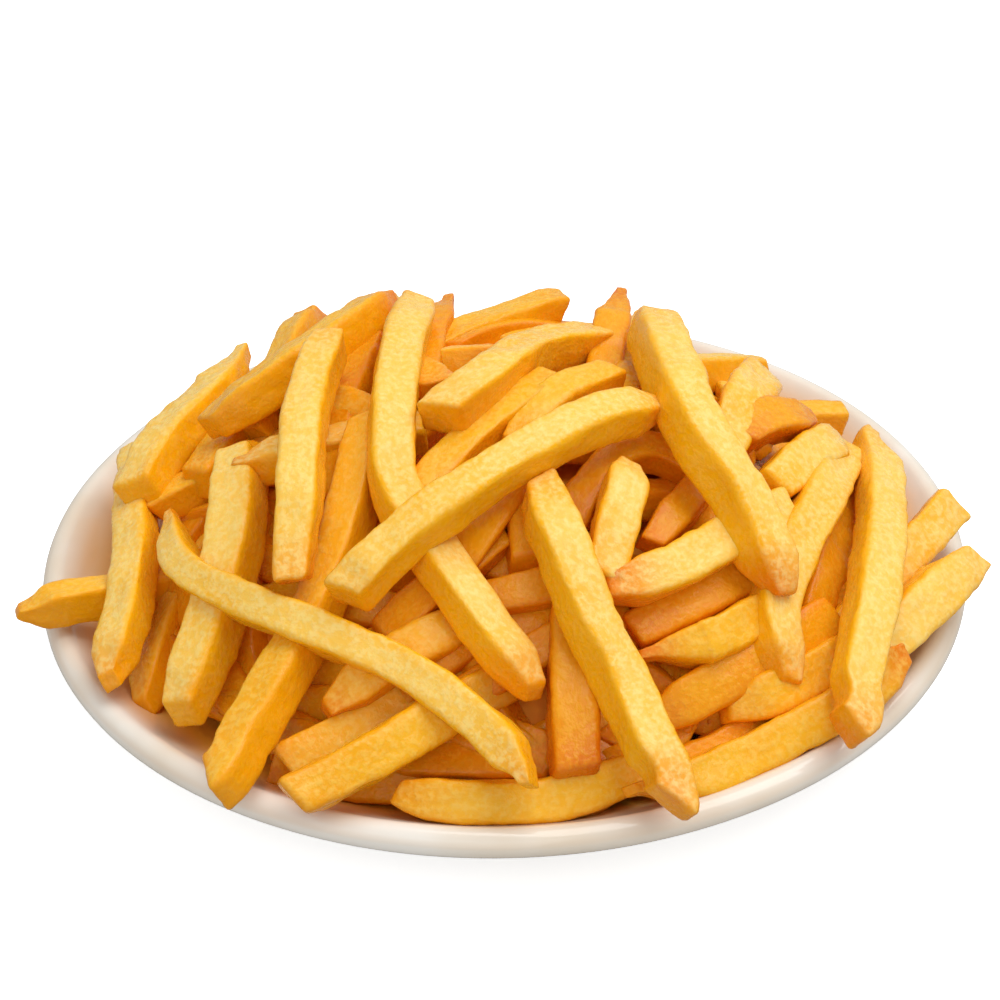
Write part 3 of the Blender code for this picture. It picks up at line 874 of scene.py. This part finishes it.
# %% Core
CORE_SIZE = (85.0 * MM, 85.0 * MM, 38.0 * MM)
CORE_FLOOR = 7.6 * MM
CORE_LUMPS = 4.0 * MM
deselect()
bpy.ops.mesh.primitive_uv_sphere_add(segments=48, ring_count=24, radius=1.0)
core = bpy.context.object
core.name = "heap_core"
bpy.context.tool_settings.mesh_select_mode = (True, False, False)
bpy.ops.object.mode_set(mode="EDIT")
bpy.ops.mesh.select_all(action="SELECT")
bpy.ops.mesh.bisect(plane_co=(0, 0, 0), plane_no=(0, 0, 1), clear_inner=True, use_fill=True)
bpy.ops.mesh.select_all(action="SELECT")
bpy.ops.transform.resize(value=CORE_SIZE, center_override=(0, 0, 0))
bpy.ops.transform.translate(value=(0.0, 0.0, CORE_FLOOR))
bpy.ops.object.mode_set(mode="OBJECT")
lumpy = core.modifiers.new("Lumps", "DISPLACE")
lumpy.texture = lump_texture
lumpy.texture_coords = "LOCAL"
lumpy.direction = "Z"
lumpy.mid_level = 0.0
lumpy.strength = CORE_LUMPS
bpy.ops.object.modifier_apply(modifier=lumpy.name)
bpy.ops.object.shade_smooth()
print("core:", len(core.data.polygons), "faces")

# %% [markdown]
# ## The fried skin
# One node group colours every fry. It takes the stored values and three colours, and gives back a
# colour, a roughness and a height for a bump. Cream flesh turns to gold along the edges, on the faces
# with painted shade and in drifting patches, and to toasted brown at the tips; small pale spots on
# the upper faces, partly the potato's own mottle and partly painted glints of oil, break all of it
# up.
# The shader stays in each kind's own material, with its own three colours.

# %% Skin node group
def group_sockets(group):
    for name, kind in (
        ("Place", "NodeSocketVector"), ("Skin", "NodeSocketVector"), ("Flesh", "NodeSocketColor"),
        ("Gold", "NodeSocketColor"), ("Toast", "NodeSocketColor"), ("Spots and glints", "NodeSocketColor"),
        ("Browning", "NodeSocketFloat"),
    ):
        group.interface.new_socket(name, in_out="INPUT", socket_type=kind)
    for name, kind in (
        ("Color", "NodeSocketColor"), ("Roughness", "NodeSocketFloat"), ("Height", "NodeSocketFloat"),
    ):
        group.interface.new_socket(name, in_out="OUTPUT", socket_type=kind)


EDGE_AND_SHADE_SHARE, PATCH_SHARE, STREAK_SHARE, TONE_SHARE = 0.95, 0.55, 0.22, 0.25
SPOT_AND_GLINT_SHARE = 0.5
skin = bpy.data.node_groups.new("Fried skin", "ShaderNodeTree")
group_sockets(skin)
given = node(skin, "NodeGroupInput", (-1600, 0))
wanted = node(skin, "NodeGroupOutput", (900, 0))
along = node(skin, "ShaderNodeMapping", (-1350, 300))
along.inputs["Scale"].default_value = (0.35, 1.0, 1.0)
skin.links.new(given.outputs["Place"], along.inputs["Vector"])
parts = node(skin, "ShaderNodeSeparateXYZ", (-1350, -200))
skin.links.new(given.outputs["Skin"], parts.inputs[0])
# the edge value holds real edge browning together with the painted shade of the side and lower faces
edge, tip, tone = parts.outputs

patches_noise = noise(skin, (-1100, 350), along.outputs[0], 95.0, 2.0)
patches = spread(skin, (-850, 350), patches_noise, 0.40, 0.72)
streaks_noise = noise(skin, (-1100, 100), along.outputs[0], 420.0, 3.0)
streaks = spread(skin, (-850, 100), streaks_noise, 0.42, 0.72)
mottle_noise = noise(skin, (-1100, -150), given.outputs["Place"], 700.0, 2.0)
mottle = spread(skin, (-850, -150), mottle_noise, 0.35, 0.7)

edge_and_shade_gold = maths(skin, (-600, 250), "MULTIPLY", edge, EDGE_AND_SHADE_SHARE)
patch_gold = maths(skin, (-600, 100), "MULTIPLY", patches, PATCH_SHARE)
streak_gold = maths(skin, (-600, -50), "MULTIPLY", streaks, STREAK_SHARE)
gold_share = maths(skin, (-400, 200), "ADD", edge_and_shade_gold, patch_gold)
gold_share = maths(skin, (-250, 200), "ADD", gold_share, streak_gold)
tone_gold = maths(skin, (-400, 0), "MULTIPLY_ADD", tone, TONE_SHARE)
gold_share = maths(skin, (-100, 200), "ADD", gold_share, tone_gold, clamp=True)
base = colour_mix(skin, (100, 250), gold_share, given.outputs["Flesh"], given.outputs["Gold"])

tip_noise = maths(skin, (-600, -300), "MULTIPLY_ADD", patches, 0.5)
tip_share = maths(skin, (-400, -250), "MULTIPLY", tip, tip_noise)
browning = maths(skin, (-400, -450), "MULTIPLY", given.outputs["Browning"], patches)
toast_share = maths(skin, (-200, -300), "ADD", tip_share, browning, clamp=True)
base = colour_mix(skin, (300, 250), toast_share, base, given.outputs["Toast"])
off_edge_and_shade = maths(skin, (-100, -100), "SUBTRACT", 1.0, edge_and_shade_gold)
spot_and_glint_room = maths(skin, (0, -150), "MULTIPLY", off_edge_and_shade, SPOT_AND_GLINT_SHARE)
# pale spots: partly the potato's own mottle, partly painted glints of oil, kept off edges and shaded
# faces
pale_spots_and_glints = maths(skin, (100, -50), "MULTIPLY", mottle, spot_and_glint_room)
base = colour_mix(skin, (500, 250), pale_spots_and_glints, base, given.outputs["Spots and glints"])
skin.links.new(base, wanted.inputs["Color"])
skin.links.new(spread(skin, (500, 0), streaks, 0.0, 1.0, 0.27, 0.44), wanted.inputs["Roughness"])
relief = maths(skin, (300, -300), "MULTIPLY_ADD", streaks, 0.6)
skin.links.new(maths(skin, (500, -300), "ADD", relief, mottle), wanted.inputs["Height"])
for link_node in skin.nodes:
    if link_node.type == "MATH" and link_node.operation == "MULTIPLY_ADD":
        link_node.inputs[2].default_value = 0.0
tip_noise.node.inputs[2].default_value = 0.65
print("skin group:", len(skin.nodes), "nodes")

# %% [markdown]
# ## The three kinds
# Pale fries come from the top of the basket, golden ones are done through, and browned ones lay
# longest in the oil. A little light travels under the skin of a fry, so a weak subsurface share
# softens the shading, with the red end of the light going furthest.

# %% Kinds of fry
KIND_COLOURS = {  # flesh, gold, toast, spots with painted glints, browning
    "pale": (
        (0.97, 0.61, 0.115), (0.96, 0.46, 0.002),
        (0.85, 0.23, 0.002), (0.99, 0.78, 0.30), 0.03,
    ),
    "golden": (
        (0.93, 0.49, 0.02), (0.90, 0.39, 0.001),
        (0.80, 0.21, 0.001), (0.96, 0.62, 0.12), 0.06,
    ),
    "browned": (
        (0.87, 0.37, 0.003), (0.83, 0.28, 0.001),
        (0.70, 0.15, 0.001), (0.92, 0.46, 0.03), 0.15,
    ),
}
SUBSURFACE_WEIGHT = 0.18
SHEEN_LEVEL = 0.24
SUBSURFACE_SCALE = 2.0 * MM
SUBSURFACE_REACH = (1.0, 0.55, 0.2)
GRAIN_STRENGTH = 0.4
GRAIN_DEPTH = 0.2 * MM


def fry_material(name, flesh, gold, toast, spots_and_glints, browning):
    made = plain_material(name, flesh, 0.5)
    tree = made.node_tree
    shader = tree.nodes["Principled BSDF"]
    shader.inputs["Subsurface Weight"].default_value = SUBSURFACE_WEIGHT
    shader.inputs["Subsurface Scale"].default_value = SUBSURFACE_SCALE
    shader.inputs["Subsurface Radius"].default_value = SUBSURFACE_REACH
    shader.inputs["Specular IOR Level"].default_value = SHEEN_LEVEL
    group = node(tree, "ShaderNodeGroup", (-400, 200), node_tree=skin)
    for name, colour in (("Flesh", flesh), ("Gold", gold), ("Toast", toast), ("Spots and glints", spots_and_glints)):
        group.inputs[name].default_value = (*colour, 1.0)
    group.inputs["Browning"].default_value = browning
    for name, socket in (("straight", "Place"), ("skin", "Skin")):
        stored = node(tree, "ShaderNodeAttribute", (-700, 200), attribute_name=name)
        tree.links.new(stored.outputs["Vector"], group.inputs[socket])
    bump = node(tree, "ShaderNodeBump", (-200, -300))
    bump.inputs["Strength"].default_value = GRAIN_STRENGTH
    bump.inputs["Distance"].default_value = GRAIN_DEPTH
    tree.links.new(group.outputs["Height"], bump.inputs["Height"])
    tree.links.new(bump.outputs["Normal"], shader.inputs["Normal"])
    tree.links.new(group.outputs["Color"], shader.inputs["Base Color"])
    tree.links.new(group.outputs["Roughness"], shader.inputs["Roughness"])
    return made


for kind, laid in heaps.items():
    deselect()
    for one in laid:
        one.select_set(True)
    bpy.context.view_layer.objects.active = laid[0]
    bpy.ops.object.join()
    heap = bpy.context.object
    heap.name = f"{kind}_fries"
    heap.data.materials.clear()
    heap.data.materials.append(fry_material(f"{kind}_potato", *KIND_COLOURS[kind]))
    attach(heap, "root")
    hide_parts("fries")
    heap.data.calc_loop_triangles()
    print(heap.name, len(heap.data.loop_triangles), "triangles")

DEEP_LIGHT, DEEP_DARK = (0.95, 0.40, 0.01), (0.85, 0.26, 0.005)
core_material = plain_material("deep_gold", DEEP_LIGHT, 0.7)
tree = core_material.node_tree
place = node(tree, "ShaderNodeTexCoord", (-900, 0)).outputs["Object"]
shade = spread(tree, (-450, 0), noise(tree, (-700, 0), place, 90.0), 0.35, 0.7)
mixed = colour_mix(tree, (-250, 0), shade, DEEP_LIGHT, DEEP_DARK)
tree.links.new(mixed, tree.nodes["Principled BSDF"].inputs["Base Color"])
core.data.materials.append(core_material)
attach(core, "root")
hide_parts("fries")
for bar in BARS.values():
    bpy.data.objects.remove(bar)
